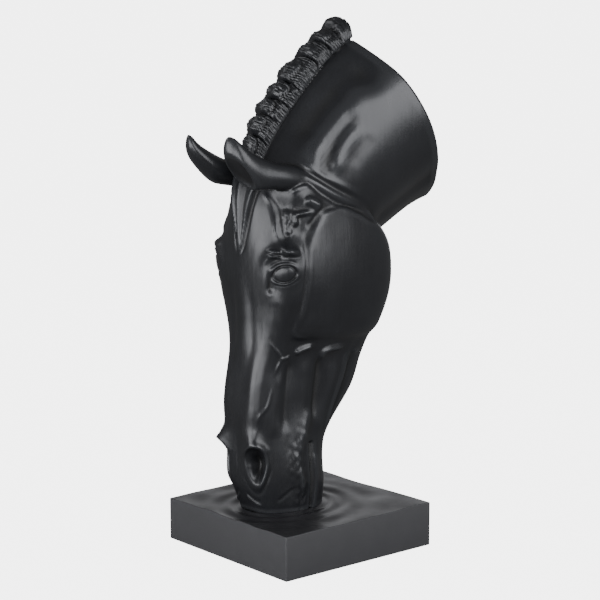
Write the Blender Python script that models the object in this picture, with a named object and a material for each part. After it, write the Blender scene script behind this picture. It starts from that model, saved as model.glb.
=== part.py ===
"""Horse's head drinking from a square of rippled water, a hollow cast resin ornament.

Metres, +Z up. The origin is the centre of the plinth's underside, the horse
faces -Y and its left side is +X. Free forms are written in hundredths of the
head's length (water to poll), with heights counted from the water.
"""

from math import pi, radians, cos

import bpy
import numpy as np

PLINTH_SIDE = 0.26          # square block of water
PLINTH_HEIGHT = 0.06
HEAD_LENGTH = 0.50          # water to poll
UNIT = HEAD_LENGTH / 100.0
JOIN_GAP = 0.0003           # between the muzzle's flat underside and its seat
RIPPLE_HEIGHT = 0.0013
RIPPLE_LENGTH = 0.030
MUZZLE_CENTRE = (0.0, -6.2 * UNIT)
MUZZLE_HALF = (9.9 * UNIT, 11.9 * UNIT)
PLAITS = 9                  # knots along the mane
RESIN = (0.012, 0.012, 0.013, 1.0)
WATER = (0.030, 0.030, 0.031, 1.0)


# Curves and blends

def spline(knots, values, at):
    """Natural cubic spline through (knots, values), read at `at`."""
    k = np.asarray(knots, float)
    v = np.asarray(values, float)
    h = np.diff(k)
    n = len(k)
    a = np.zeros((n, n))
    b = np.zeros((n,) + v.shape[1:])
    a[0, 0] = a[-1, -1] = 1.0
    for i in range(1, n - 1):
        a[i, i - 1:i + 2] = h[i - 1], 2 * (h[i - 1] + h[i]), h[i]
        b[i] = 6 * ((v[i + 1] - v[i]) / h[i] - (v[i] - v[i - 1]) / h[i - 1])
    m = np.linalg.solve(a, b.reshape(n, -1)).reshape(b.shape)
    at = np.asarray(at, float)
    i = np.clip(np.searchsorted(k, at) - 1, 0, n - 2)
    shape = at.shape + (1,) * (v.ndim - 1)
    before = (at - k[i]).reshape(shape)
    after = (k[i + 1] - at).reshape(shape)
    w = h[i].reshape(shape)
    return ((m[i] * after**3 + m[i + 1] * before**3) / (6 * w)
            + (v[i] / w - m[i] * w / 6) * after
            + (v[i + 1] / w - m[i + 1] * w / 6) * before)


def step(low, high, t):
    """Smooth change from 0 at `low` to 1 at `high`."""
    t = np.clip((t - low) / (high - low), 0, 1)
    return t * t * (3 - 2 * t)


def bell(distance, width):
    """Soft hump, 1 in the middle."""
    return np.exp(-(distance / width) ** 2)


def unit(v):
    v = np.asarray(v, float)
    return v / np.linalg.norm(v)


def crowded(low, high, count, places):
    """Values from low to high, closer together near each (centre, spread, weight)."""
    fine = np.linspace(low, high, 4000)
    density = np.ones_like(fine)
    for centre, spread, weight in places:
        density += weight * bell(fine - centre, spread)
    total = np.concatenate([[0], np.cumsum((density[1:] + density[:-1]) / 2)])
    return np.interp(np.linspace(0, total[-1], count), total, fine)


def nearest(q, line):
    """Distance of each 2D point to a chain of points, and how far along it (0 to 1)."""
    best = np.full(q.shape[:-1], 1e9)
    where = np.zeros(q.shape[:-1])
    lengths = np.linalg.norm(np.diff(line, axis=0), axis=1)
    starts = np.concatenate([[0], np.cumsum(lengths)])
    for a, b, length, start in zip(line[:-1], line[1:], lengths, starts):
        t = np.clip(((q - a) @ (b - a)) / length**2, 0, 1)
        d = np.linalg.norm(q - a - t[..., None] * (b - a), axis=-1)
        closer = d < best
        best = np.where(closer, d, best)
        where = np.where(closer, (start + t * length) / starts[-1], where)
    return best, where


def ridge(q, points, width, height):
    """A raised cord along a smooth curve through the points, fading at both ends."""
    p = np.asarray(points, float)
    t = np.arange(len(p))
    line = spline(t, p, np.linspace(0, len(p) - 1, 4 * len(p)))
    d, where = nearest(q, line)
    return height * bell(d, width) * step(0, .15, where) * step(0, .15, 1 - where)


def inside(q, points):
    """Distance to a smooth closed outline, positive inside it."""
    p = np.asarray(points, float)
    n = len(p)
    k = np.arange(-2, n + 3)
    line = spline(k, p[k % n], np.linspace(0, n, n * 5 + 1))
    distance, _ = nearest(q, line)
    odd = np.zeros(q.shape[:-1], bool)
    for a, b in zip(line[:-1], line[1:]):
        crosses = (a[1] > q[..., 1]) != (b[1] > q[..., 1])
        slope = (b[0] - a[0]) / (b[1] - a[1] if b[1] != a[1] else 1e-9)
        odd ^= crosses & (q[..., 0] < a[0] + (q[..., 1] - a[1]) * slope)
    return np.where(odd, distance, -distance)


# Head: five lines run down each side, front of the nose to throat

HEIGHTS = [0, 8, 18, 30, 44, 56, 67, 78, 88, 96]
RAILS = [       # half widths and depths at HEIGHTS
    ([0] * 10, [-17.5, -20.8, -22.0, -20.9, -19.6, -19.6, -20.6, -20.5, -19.2, -16]),
    ([6.0, 6.8, 6.0, 5.6, 6.6, 9.2, 12.2, 11.8, 7.4, 4],
     [-16, -19.6, -20.8, -19.4, -17.8, -17.6, -19.2, -18.2, -17.6, -14]),
    ([9.4, 10.6, 10.2, 9.6, 11.8, 14.4, 15.8, 15.0, 13.0, 8],
     [-9, -11, -11.5, -11.0, -10, -11, -12, -12, -12, -9]),
    ([8.8, 9.6, 9.0, 9.2, 12.0, 14.6, 15.8, 15.6, 13.5, 8],
     [-1.5, -1.5, -1, 1, 4, 5, 5, 1, -4, -5]),
    ([5.0, 5.6, 5.2, 5.4, 7.6, 10, 11.4, 12.4, 10, 6],
     [4.2, 4.6, 4.8, 11, 16.5, 22.6, 24.0, 17, 4, -1]),
    ([0] * 10, [5.2, 5.6, 6.0, 12.6, 16.5, 20.0, 21, 17, 5, 0]),
]
CROWN = (90.0, 97.0)        # the poll closes in a dome between these heights
CHEEK = [(-11.2, 76), (-11.4, 60), (-11.7, 46.0), (-2, 44.9), (8, 43.6), (20, 43.2),
         (36, 52), (38, 72), (26, 82), (10, 84), (-4, 82)]


def head_surface(z, v):
    """Rings at heights z; v runs once round from the nose over the near side."""
    xs = np.stack([spline(HEIGHTS, r[0], z) for r in RAILS], -1)
    ys = np.stack([spline(HEIGHTS, r[1], z) for r in RAILS], -1)
    xs = np.concatenate([xs, -xs[:, -2:0:-1]], -1)
    ys = np.concatenate([ys, ys[:, -2:0:-1]], -1)
    count = xs.shape[-1]
    knots = np.arange(-4, count + 5)
    data = np.stack([xs[:, knots % count], ys[:, knots % count]], -1).transpose(1, 0, 2)
    xy = spline(knots, data, v).transpose(1, 0, 2)
    t = np.clip((z - CROWN[0]) / (CROWN[1] - CROWN[0]), 0, 1)[:, None, None]
    centre = np.array([0, -8.0])
    xy = centre + (xy - centre) * np.maximum(np.sqrt(1 - t**2), 0.04)
    return np.concatenate([xy, np.broadcast_to(z[:, None, None], xy.shape[:2] + (1,))], -1)


def normals(grid):
    n = np.cross(np.roll(grid, -1, 1) - np.roll(grid, 1, 1), np.gradient(grid, axis=0))
    return n / (np.linalg.norm(n, axis=-1, keepdims=True) + 1e-12)


def side_carving(q):
    """Cheek, muscles, mouth and temple, as heights over the side view (y, z)."""
    y, z = q[..., 0], q[..., 1]
    lower = step(56, 47, z)
    d = inside(q, CHEEK)
    h = (0.50 + .9 * lower) * step(-.3, 1.0 + 1.6 * lower, d)
    h -= (.32 + .10 * lower) * bell(d + .6, .55)
    h += ridge(q, [(-11.6, 45), (-11.9, 54), (-11.6, 64), (-10.6, 74)], .9, .35)
    h += ridge(q, [(-6.2, 44), (-6.4, 36), (-7.4, 26), (-8.6, 17)], 2.6, .8)
    h += ridge(q, [(4.5, 43.5), (3.6, 36), (1.0, 28), (-1.0, 20)], 3.2, .8)
    h -= ridge(q, [(-11.5, 44), (-12.2, 36), (-12.6, 28), (-12.5, 22)], 1.6, .5)
    h -= ridge(q, [(-4.2, 22), (-3.9, 14), (-3.6, 7), (-3.8, -4)], .8, .7)
    h += ridge(q, [(-6.0, 31), (-7.4, 23), (-8.8, 16), (-8.6, 9), (-7.6, 2)], 1.5, .6)
    h -= 2.0 * bell(np.hypot((y + 13.6) / 1.1, (z - 80.4) / 1.35), 2.7)
    h += ridge(q, [(-13.0, 84.6), (-11.2, 82.6), (-10.4, 80.4)], 1.3, 1.0)
    h += ridge(q, [(-9.6, 84.8), (-6.3, 84.4), (-3.6, 82.9)], 1.2, .9)
    return h


def forelock(p):
    """A keeled lock of hair, wide between the ears and pointed on the forehead."""
    rise = np.clip((p[..., 2] - 72.0) / 18.0, 0, 1.3)
    half = 4.4 * rise ** .85 + .25
    t = np.abs(p[..., 0]) / half
    keel = (.35 + 2.2 * rise) * np.clip(1 - t, 0, 1) ** .9 + .25
    return keel * step(1.06, .90, t) * step(71, 73.5, p[..., 2])


def local_frame(p, centre, out, lengthwise):
    """Coordinates along, across and out of a feature."""
    out = unit(out)
    lengthwise = unit(np.asarray(lengthwise) - out * np.dot(lengthwise, out))
    d = p - np.array(centre)
    return d @ lengthwise, d @ np.cross(lengthwise, out), d @ out, out


def eye(p):
    """Domed eye with lids in a hollow socket, under a brow."""
    a, b, c, out = local_frame(p, (15.9, -17.6, 67.0), (.84, -.54, .04), (.10, .97, .16))
    b = -b
    near = step(12, 7, np.sqrt(a * a + b * b + c * c))
    rad = np.hypot(a / 1.2, b)
    lids = ((np.abs(a / 3.6) ** 1.9 + np.abs(b / np.where(b > 0, 2.5, 2.0)) ** 1.9)
            ** (1 / 1.9) - 1) * 2.6
    h = 1.7 * bell(rad, 3.4) - 1.1 * bell(rad - 5.2, 1.5) * step(3.5, -1.5, b)
    h += .45 * bell(lids - .4, .8) - .3 * bell(lids - 2.0, .8)
    h += 1.25 * bell(b - 5.6 + .09 * a * a, 1.5) * step(6.5, 2.5, np.abs(a + .3))
    return near * h, out


def nostril(p):
    """Wide, comma-shaped nostril with a raised rim and a flare above it."""
    a, b, c, out = local_frame(p, (9.0, -21.0, 14.6), (.70, -.71, .05), (-.06, -.14, 1.0))
    near = step(13, 8, np.sqrt(a * a + b * b + c * c))
    wide = np.clip(2.35 + .24 * a, 1.2, 3.4)
    edge = ((np.abs(a / 4.9) ** 2.2 + np.abs(b / wide) ** 2.2) ** (1 / 2.2) - 1) * 2.6
    h = -2.0 * step(.8, -2.2, edge)
    h += .7 * bell(edge - 1.2, 1.3)
    h += 1.5 * bell(np.hypot(a - 5.4, (b - .6) / 1.2), 2.6)
    h += .8 * bell(np.hypot((a + .5) / 2.4, b - 4.4), 1.9)
    return near * h, out


def head_form(rows, columns):
    """The carved head, closed at the poll and cut flat at the water."""
    z = crowded(0, CROWN[1], rows, [(67, 6, 1.4), (14, 8, 1.6), (46, 3, .8)])
    v = crowded(0, 10, columns + 1, [(1.5, .7, 1.8), (8.5, .7, 1.8)])[:-1]
    grid = head_surface(z, v)
    n = normals(grid)
    near_side = np.abs(grid)
    near_side[..., 1:] = grid[..., 1:]
    h = step(.12, .5, np.abs(n[..., 0])) * side_carving(grid[..., 1:])
    h += step(.25, .6, -n[..., 1]) * forelock(grid)
    out = grid + n * h[..., None]
    mirror = np.where(grid[..., 0] < 0, -1.0, 1.0)
    near_side = out * np.stack([mirror, np.ones_like(mirror), np.ones_like(mirror)], -1)
    for feature in (nostril, eye):
        depth, direction = feature(near_side)
        push = direction * depth[..., None]
        push[..., 0] *= mirror
        out = out + push
    out[..., 2] = np.maximum(out[..., 2], 0.0)
    out[0, :, 2] = 0.0
    return out


# Neck: a tube between the crest and the underside, cut off flat

NECK_AT = [0, .25, .5, .75, 1.0]
NECK_CREST = [(-17, 94.5), (-10.6, 105.0), (-3.4, 113.6), (5.6, 122.4), (14.6, 128.7)]
NECK_UNDER = [(4, 66), (21, 74), (31.5, 77.5), (40.0, 80.5), (47.2, 83.0)]
NECK_HALF = 19.3


def neck_carving(q):
    """Muscles and hollows of the neck over the side view (y, z)."""
    h = -ridge(q, [(17, 119), (13.2, 115.3), (2.7, 103.6), (-4.4, 89.3), (-7, 84)], 2.6, 1.5)
    h += ridge(q, [(12, 117), (5.0, 110), (-3.5, 98), (-8.5, 88)], 3.0, .9)
    h += ridge(q, [(17, 112), (8.5, 103.6), (2.5, 94), (1.5, 88)], 2.2, .7)
    h += ridge(q, [(26, 108), (18, 97), (12, 86), (10, 80)], 4.0, .5)
    h -= ridge(q, [(44, 92), (34, 86), (24, 80), (18, 77)], 2.6, .6)
    return h


def neck_form(rows, columns):
    s = np.linspace(0, 1, rows)
    v = np.linspace(0, 2 * pi, columns + 1)[:-1]
    crest = spline(NECK_AT, NECK_CREST, s)[:, None, :]
    under = spline(NECK_AT, NECK_UNDER, s)[:, None, :]
    t = (1 - np.cos(v)) / 2
    profile = spline([0, .1, .2, .31, .458, .609, .767, .87, .95, 1.0],
                     [.66, .82, .98, 1.02, 1.0, .95, .85, .75, .6, .45], t)
    half = NECK_HALF * np.sqrt(4 * t * (1 - t)) * profile * np.where(v < pi, 1, -1)
    grow = spline(NECK_AT, [.70, .79, .87, .94, 1.0], s)[:, None]
    grow = grow - .12 * step(.3, .8, t)[None, :] * step(.55, 0, s)[:, None]
    yz = crest * (1 - t[None, :, None]) + under * t[None, :, None]
    grid = np.concatenate([(half[None, :] * grow)[..., None], yz], -1)
    n = normals(grid)
    h = step(.15, .5, np.abs(n[..., 0])) * neck_carving(grid[..., 1:])
    h *= step(1.0, .93, s)[:, None]
    return grid + n * h[..., None]


# Ears: bent cones, cut off obliquely and scooped out

EAR_AT = [0, .2, .4, .6, .8, 1.0]
EAR_BACK = [(-2, 92.8), (-12, 94.5), (-17.5, 95.2), (-22.5, 96.5), (-27.3, 99.0), (-30.2, 102.0)]
EAR_FRONT = [(-2, 86.0), (-12, 87.5), (-18.5, 88.3), (-26.0, 88.6), (-31.6, 93.5), (-32.4, 100.6)]
EAR_HALF = [3.8, 3.6, 3.7, 4.1, 3.7, 1.9]
EAR_X = [8.6, 10.0, 10.0, 9.3, 9.3, 8.8]
EAR_TIP = np.array([8.8, -31.1, 101.6])
EAR_RIM = np.array([9.2, -23.4, 89.2])      # lowest point of the opening
EAR_FACES = unit((.29, -.75, -.60))         # the way the opening looks
EAR_BOW = 1.4                               # its edge arches forward by this much
EAR_SCOOP = .42


def ear_form(rows, columns):
    u = np.linspace(0, 1, rows)
    back, front = spline(EAR_AT, EAR_BACK, u), spline(EAR_AT, EAR_FRONT, u)
    half, x = spline(EAR_AT, EAR_HALF, u)[:, None], spline(EAR_AT, EAR_X, u)[:, None]
    middle, arm = (back + front) / 2, (back - front) / 2
    phi = np.linspace(0, -2 * pi, columns + 1)[:-1][None, :]
    turn = radians(14) * step(.35, .6, u)[:, None]
    close = np.sqrt(1 - (np.clip(u - .90, 0, 1) / .102) ** 2)[:, None]
    w, d = half * np.sin(phi) * close, np.cos(phi) * close
    grid = np.stack([x + w * np.cos(turn),
                     middle[:, None, 0] + arm[:, None, 0] * d + w * np.sin(turn),
                     middle[:, None, 1] + arm[:, None, 1] * d], -1)
    chord = EAR_TIP - EAR_RIM
    t = np.clip((grid - EAR_RIM) @ chord / (chord @ chord), 0, 1)
    beyond = (grid - EAR_RIM) @ EAR_FACES - EAR_BOW * np.sin(pi * t)
    beyond = (beyond + np.sqrt(beyond**2 + .7**2)) / 2 - .05
    scoop = EAR_SCOOP * np.linalg.norm(arm, axis=1)[:, None] * close
    cut = beyond + scoop * (1 - np.exp(-np.maximum(beyond, 0) / 1.6))
    return grid - EAR_FACES * cut[..., None]


# Mane: an arch carried along the crest that swells at each plait

def mane_form(rows, columns):
    s = np.linspace(.02, 1.0, rows)
    crest, under = spline(NECK_AT, NECK_CREST, s), spline(NECK_AT, NECK_UNDER, s)
    down = under - crest
    down /= np.linalg.norm(down, axis=1, keepdims=True)
    run = np.concatenate([[0], np.cumsum(np.linalg.norm(np.diff(crest, axis=0), axis=1))])
    swell = np.sqrt(np.clip(np.sin(pi * ((run / run[-1] * PLAITS) % 1.0)), 0, 1))[:, None]
    high = (3.4 + 1.4 * swell + 1.2 * step(.7, 1, s)[:, None]) * step(-.02, .10, s)[:, None] ** .5
    wide = (5.2 + .4 * swell) * (.72 + .28 * step(0, .4, s)[:, None])
    angle = np.linspace(0, 2 * pi, columns + 1)[:-1][None, :]
    arch = np.cos(angle)
    up = np.where(arch > 0, np.abs(arch) ** .75 * high, arch * 1.5)
    return np.stack([wide * np.sin(angle),
                     crest[:, None, 0] - down[:, None, 0] * up,
                     crest[:, None, 1] - down[:, None, 1] * up], -1)


# Plinth: a block of water with rings round the muzzle

def ripple(x, y):
    """Height of the water over its mean level: none beside the muzzle."""
    px, py = x - MUZZLE_CENTRE[0], y - MUZZLE_CENTRE[1]
    radius = np.hypot(px / MUZZLE_HALF[0], py / MUZZLE_HALF[1])
    out = (radius - 1) * sum(MUZZLE_HALF) / 2
    rings = np.cos(2 * pi * out / RIPPLE_LENGTH - .6) * step(.004, .018, out)
    wash = .5 * np.sin(38 * x + 21 * y) + .5 * np.sin(27 * y - 44 * x + 1.3)
    return RIPPLE_HEIGHT * (.75 * rings * bell(out, .16) + .45 * wash * step(.004, .05, out))


def plinth_mesh(count):
    """Rippled grid on top of a plain square block."""
    line = np.linspace(-PLINTH_SIDE / 2, PLINTH_SIDE / 2, count)
    x, y = np.meshgrid(line, line, indexing="ij")
    top = np.stack([x, y, PLINTH_HEIGHT + ripple(x, y)], -1).reshape(-1, 3)
    i, j = np.meshgrid(np.arange(count - 1), np.arange(count - 1), indexing="ij")
    i, j = i.ravel(), j.ravel()
    at = i * count + j
    faces = np.stack([at, at + count, at + count + 1, at + 1], -1).tolist()
    half = PLINTH_SIDE / 2
    corners = [(-half, -half, 0), (half, -half, 0), (half, half, 0), (-half, half, 0)]
    base = len(top)
    steps = range(count)
    front = [k * count for k in steps]
    right = [(count - 1) * count + k for k in steps]
    back = [k * count + count - 1 for k in reversed(steps)]
    left = [k for k in reversed(steps)]
    for n, edge in enumerate((front, right, back, left)):
        faces.append([base + n, base + (n + 1) % 4] + edge[::-1])
    faces.append([base + 3, base + 2, base + 1, base])
    return np.concatenate([top, np.array(corners)]), faces


# Objects

def tube_mesh(grid):
    """Quads between the rings of a grid, with a flat fan at each end."""
    rows, columns = grid.shape[:2]
    verts = np.concatenate([grid.reshape(-1, 3), [grid[0].mean(0)], [grid[-1].mean(0)]])
    faces = []
    for r in range(rows - 1):
        for c in range(columns):
            d = (c + 1) % columns
            faces.append((r * columns + c, r * columns + d, (r + 1) * columns + d, (r + 1) * columns + c))
    last = (rows - 1) * columns
    for c in range(columns):
        d = (c + 1) % columns
        faces.append((rows * columns, d, c))
        faces.append((rows * columns + 1, last + c, last + d))
    return verts, faces


def placed(grid):
    """From hundredths over the water to metres over the underside."""
    out = grid * UNIT
    out[..., 2] += PLINTH_HEIGHT + JOIN_GAP
    return out


def material(name, colour, roughness):
    m = bpy.data.materials.new(name)
    m.use_nodes = True
    shader = m.node_tree.nodes["Principled BSDF"]
    shader.inputs["Base Color"].default_value = colour
    shader.inputs["Roughness"].default_value = roughness
    shader.inputs["Metallic"].default_value = 0.0
    return m


def add(name, verts, faces, mat, guide=False):
    mesh = bpy.data.meshes.new(name)
    mesh.from_pydata([tuple(float(c) for c in v) for v in verts], [], [tuple(f) for f in faces])
    mesh.validate()
    mesh.shade_smooth()
    mesh.set_sharp_from_angle(angle=radians(50))
    mesh.materials.append(mat)
    item = bpy.data.objects.new(name, mesh)
    bpy.context.scene.collection.objects.link(item)
    if guide:
        item.hide_render = True
        item.display_type = "WIRE"
    return item


def build():
    for item in list(bpy.data.objects):
        bpy.data.objects.remove(item)
    resin = material("black_resin", RESIN, 0.32)
    water = material("black_water", WATER, 0.42)
    head = add("horse_head", *tube_mesh(placed(head_form(58, 42))), resin)
    ear = placed(ear_form(17, 18))
    parts = {
        "neck_form": placed(neck_form(16, 32)),
        "mane_form": placed(mane_form(73, 12)),
        "left_ear_form": ear,
        "right_ear_form": (ear * np.array([-1, 1, 1]))[:, ::-1],
    }
    for name, grid in parts.items():
        shape = add(name, *tube_mesh(grid), resin, guide=True)
        union = head.modifiers.new("join_" + name, "BOOLEAN")
        union.operation = "UNION"
        union.solver = "MANIFOLD"
        union.object = shape
    add("plinth", *plinth_mesh(27), water)


build()
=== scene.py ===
from math import cos, pi, radians, sin

import bpy
import numpy as np
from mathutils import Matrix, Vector


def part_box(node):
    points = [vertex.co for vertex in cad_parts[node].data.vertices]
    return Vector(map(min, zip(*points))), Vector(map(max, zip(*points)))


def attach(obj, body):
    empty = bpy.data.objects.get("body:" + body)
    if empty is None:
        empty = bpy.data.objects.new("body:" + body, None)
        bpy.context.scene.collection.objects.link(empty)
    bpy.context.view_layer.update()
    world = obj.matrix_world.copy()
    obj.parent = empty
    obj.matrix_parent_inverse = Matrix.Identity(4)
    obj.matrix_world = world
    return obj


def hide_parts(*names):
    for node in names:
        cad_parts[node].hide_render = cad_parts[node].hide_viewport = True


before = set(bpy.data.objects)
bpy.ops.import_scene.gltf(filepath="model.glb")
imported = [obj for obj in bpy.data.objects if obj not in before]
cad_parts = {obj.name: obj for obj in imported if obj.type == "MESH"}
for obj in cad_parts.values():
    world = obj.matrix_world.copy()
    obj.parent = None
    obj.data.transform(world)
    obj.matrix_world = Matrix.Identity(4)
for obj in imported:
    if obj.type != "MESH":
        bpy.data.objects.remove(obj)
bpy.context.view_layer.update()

# The frame's own measures, in metres
PLINTH_LOW, PLINTH_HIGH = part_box("plinth")
HEAD_LOW, HEAD_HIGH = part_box("horse_head")
PLINTH_SIDE = PLINTH_HIGH.x - PLINTH_LOW.x
JOIN_GAP = 0.0003
WATER_LEVEL = HEAD_LOW.z - JOIN_GAP

# Every form of the horse is measured in hundredths of the head's length, from the water up.
# x runs to the horse's left, y backwards and z up.
HEAD_AND_NECK_HEIGHT = 132.8
UNIT = (HEAD_HIGH.z - HEAD_LOW.z) / HEAD_AND_NECK_HEIGHT

# How finely each grid is cut: rows and columns
HEAD_GRID = (285, 220)
NECK_GRID = (80, 110)
EAR_GRID = (46, 48)
MANE_GRID = (400, 60)
WATER_GRID = 190


# Curves and small formulas

CURVE_STEPS = 6             # straight pieces to each span of a curve
CROWD_STEPS = 4000          # how finely a density is added up
WAVES = 5                   # sine waves to each octave of the noise


def spline(knots, values, at):
    """Natural cubic spline through (knots, values), read at `at`."""
    k, v = np.asarray(knots, float), np.asarray(values, float)
    h = np.diff(k)
    n = len(k)
    rows, right = np.zeros((n, n)), np.zeros((n,) + v.shape[1:])
    rows[0, 0] = rows[-1, -1] = 1.0
    for i in range(1, n - 1):
        rows[i, i - 1:i + 2] = h[i - 1], 2 * (h[i - 1] + h[i]), h[i]
        right[i] = 6 * ((v[i + 1] - v[i]) / h[i] - (v[i] - v[i - 1]) / h[i - 1])
    bend = np.linalg.solve(rows, right.reshape(n, -1)).reshape(right.shape)
    at = np.asarray(at, float)
    i = np.clip(np.searchsorted(k, at) - 1, 0, n - 2)
    shape = at.shape + (1,) * (v.ndim - 1)
    past, left, width = (a.reshape(shape) for a in (at - k[i], k[i + 1] - at, h[i]))
    cubic = (bend[i] * left**3 + bend[i + 1] * past**3) / (6 * width)
    from_left = (v[i] / width - bend[i] * width / 6) * left
    from_right = (v[i + 1] / width - bend[i + 1] * width / 6) * past
    return cubic + from_left + from_right


def step(start, end, at):
    """Smooth rise from 0 at start to 1 at end."""
    t = np.clip((at - start) / (end - start), 0, 1)
    return t * t * (3 - 2 * t)


def bell(distance, width):
    """Bell curve of height 1: exp(-(distance / width)^2)."""
    return np.exp(-(distance / width) ** 2)


def unit(vector):
    vector = np.asarray(vector, float)
    return vector / np.linalg.norm(vector)


def crowded(low, high, count, places):
    """Numbers from low to high, closer together near each place (centre, spread, extra density)."""
    fine = np.linspace(low, high, CROWD_STEPS)
    density = np.ones_like(fine)
    for centre, spread, extra in places:
        density += extra * bell(fine - centre, spread)
    total = np.concatenate([[0], np.cumsum((density[1:] + density[:-1]) / 2)])
    return np.interp(np.linspace(0, total[-1], count), total, fine)


def distance_along(q, points):
    """Distance of each point of q to the smooth curve through points, and how far along it, from 0 to 1."""
    line = np.asarray(points, float)
    if len(line) > 2:
        last = len(line) - 1
        line = spline(np.arange(last + 1), line, np.linspace(0, last, last * CURVE_STEPS + 1))
    length = np.linalg.norm(np.diff(line, axis=0), axis=1)
    start = np.concatenate([[0], np.cumsum(length)])
    nearest, where = np.full(q.shape[:-1], np.inf), np.zeros(q.shape[:-1])
    for a, b, l, before in zip(line[:-1], line[1:], length, start):
        t = np.clip(((q - a) @ (b - a)) / (l * l), 0, 1)
        d = np.linalg.norm(q - a - t[..., None] * (b - a), axis=-1)
        nearer = d < nearest
        nearest = np.where(nearer, d, nearest)
        where = np.where(nearer, (before + t * l) / start[-1], where)
    return nearest, where


def ridge(q, points, width, height, ends=0.15):
    """Rounded ridge, or groove if height is negative, along the curve through points; its ends fade out."""
    d, t = distance_along(q, points)
    return height * bell(d, width) * step(0, ends, t) * step(0, ends, 1 - t)


def inside(q, outline):
    """Signed distance to a smooth closed outline: positive inside it."""
    p = np.asarray(outline, float)
    n = len(p)
    k = np.arange(-2, n + 3)
    line = spline(k, p[k % n], np.linspace(0, n, n * CURVE_STEPS + 1))
    nearest, within = np.full(q.shape[:-1], np.inf), np.zeros(q.shape[:-1], bool)
    for a, b in zip(line[:-1], line[1:]):
        ab = b - a
        t = np.clip(((q - a) @ ab) / (ab @ ab), 0, 1)
        nearest = np.minimum(nearest, np.linalg.norm(q - a - t[..., None] * ab, axis=-1))
        if a[1] != b[1]:
            crosses = (a[1] > q[..., 1]) != (b[1] > q[..., 1])
            within ^= crosses & (q[..., 0] < a[0] + (q[..., 1] - a[1]) / (b[1] - a[1]) * ab[0])
    return np.where(within, nearest, -nearest)


def rough(p, size, seed, octaves=3):
    """Smooth noise between about -1 and 1: a sum of sine waves in directions fixed by seed.

    Each octave of them is half as long and half as high as the one before.
    """
    rng = np.random.default_rng(seed)
    total = np.zeros(p.shape[:-1])
    for octave in range(octaves):
        for _ in range(WAVES):
            k = rng.normal(size=3)
            k *= 2 * pi / size * 2**octave / np.linalg.norm(k)
            total += np.sin(p @ k + rng.uniform(0, 2 * pi)) / 2**octave
    return total / (WAVES * (2 - 0.5**(octaves - 1)))


def grid_normals(g):
    """Outward normals of a grid of rings."""
    n = np.cross(np.roll(g, -1, 1) - np.roll(g, 1, 1), np.gradient(g, axis=0))
    return n / (np.linalg.norm(n, axis=-1, keepdims=True) + 1e-12)


# Head: six rails run up it, and each ring is a smooth closed curve through them

HEIGHTS = [0, 8, 18, 30, 44, 56, 67, 78, 88, 96]
RAILS = {   # name: (half widths, depths) at HEIGHTS
    "front": ([0] * 10, [-17.5, -20.8, -21.8, -21.4, -20.0, -19.8, -20.6, -20.3, -19.2, -16]),
    "nasal": ([6.0, 6.4, 6.0, 7.0, 7.2, 9.7, 11.9, 11.2, 6.8, 4],
              [-16, -18.8, -20.4, -20.9, -18.6, -18.1, -18.8, -17.0, -17.0, -14]),
    "facial": ([9.4, 10.6, 10.2, 9.6, 11.8, 14.4, 15.8, 15.0, 13.0, 8],
               [-9, -11, -11.5, -11.0, -10, -11, -12, -12, -12, -9]),
    "cheek": ([8.8, 9.6, 9.0, 9.2, 12.0, 14.6, 15.8, 15.6, 13.5, 8],
              [-1.5, -1.5, -1, 1, 4, 5, 5, 1, -4, -5]),
    "jaw": ([5.0, 5.4, 5.0, 6.0, 8.0, 10.2, 11.2, 12.4, 10, 6],
            [4.2, 4.3, 4.6, 12.4, 18.1, 23.0, 23.5, 17, 4, -1]),
    "throat": ([0] * 10, [5.2, 5.4, 5.8, 13.8, 18.0, 20.4, 20.6, 17, 5, 0]),
}
CROWN = 97                  # height where the head closes, inside the neck
DOME_START = 90             # height from which it closes in
CROWN_CENTRE = (0, -8.0)    # (x, y)
RING = 2 * (len(RAILS) - 1)     # rails round a whole ring
FAR_SIDE = .25              # how finely the far side is cut, against 1 for the near side

# Where rows and columns are crowded: (height or rail, spread, extra density)
ROWS_NEAR = [(67, 6, 1.5), (13, 9, 1.2), (46, 3, .8), (80, 6, .4)]
COLUMNS_NEAR = [(0, .75, 1.3), (10, .75, 1.3), (1.6, .7, 1.7), (8.4, .7, 1.7)]

# Outline of the round cheek muscle in side view, as (y, z)
CHEEK = [(-9.9, 74.4), (-10.4, 68), (-10.9, 61), (-11.8, 53.5), (-11.9, 48.8), (-4.5, 47.5), (4, 46.7),
         (13, 46.3), (23, 47.2), (36, 54), (38, 72), (26, 82), (10, 84), (-3.4, 82.5), (-7.0, 79.6)]


def head_surface(z, v):
    """Ring at each height z: a closed spline through the rails, which v counts; the top closes in a dome."""
    rails = np.stack([np.stack([spline(HEIGHTS, part, z) for part in RAILS[name]], -1) for name in RAILS], 1)
    mirrored = rails[:, -2:0:-1] * [-1, 1]
    ring = np.concatenate([rails, mirrored], 1)
    knots = np.arange(-4, ring.shape[1] + 5)
    xy = np.moveaxis(spline(knots, np.moveaxis(ring[:, knots % ring.shape[1]], 1, 0), v), 0, 1)
    share = np.clip(z - DOME_START, 0, CROWN - DOME_START) / (CROWN - DOME_START)
    domed = np.sqrt(np.clip(1 - share ** 2, .0004, 1))[:, None, None]
    xy = CROWN_CENTRE + (xy - CROWN_CENTRE) * domed
    return np.concatenate([xy, np.broadcast_to(z[:, None, None], xy.shape[:2] + (1,))], -1)


def own_axes(p, centre, out, lengthwise, across_towards):
    """Coordinates of p on a carved feature: along it, across it and out of it, with its outward direction."""
    out = unit(out)
    lengthwise = np.asarray(lengthwise, float)
    lengthwise = unit(lengthwise - out * (lengthwise @ out))
    across = np.cross(out, lengthwise)
    across = across * np.sign(across @ np.asarray(across_towards))
    d = p - np.array(centre)
    return d @ lengthwise, d @ across, d @ out, out


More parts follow.
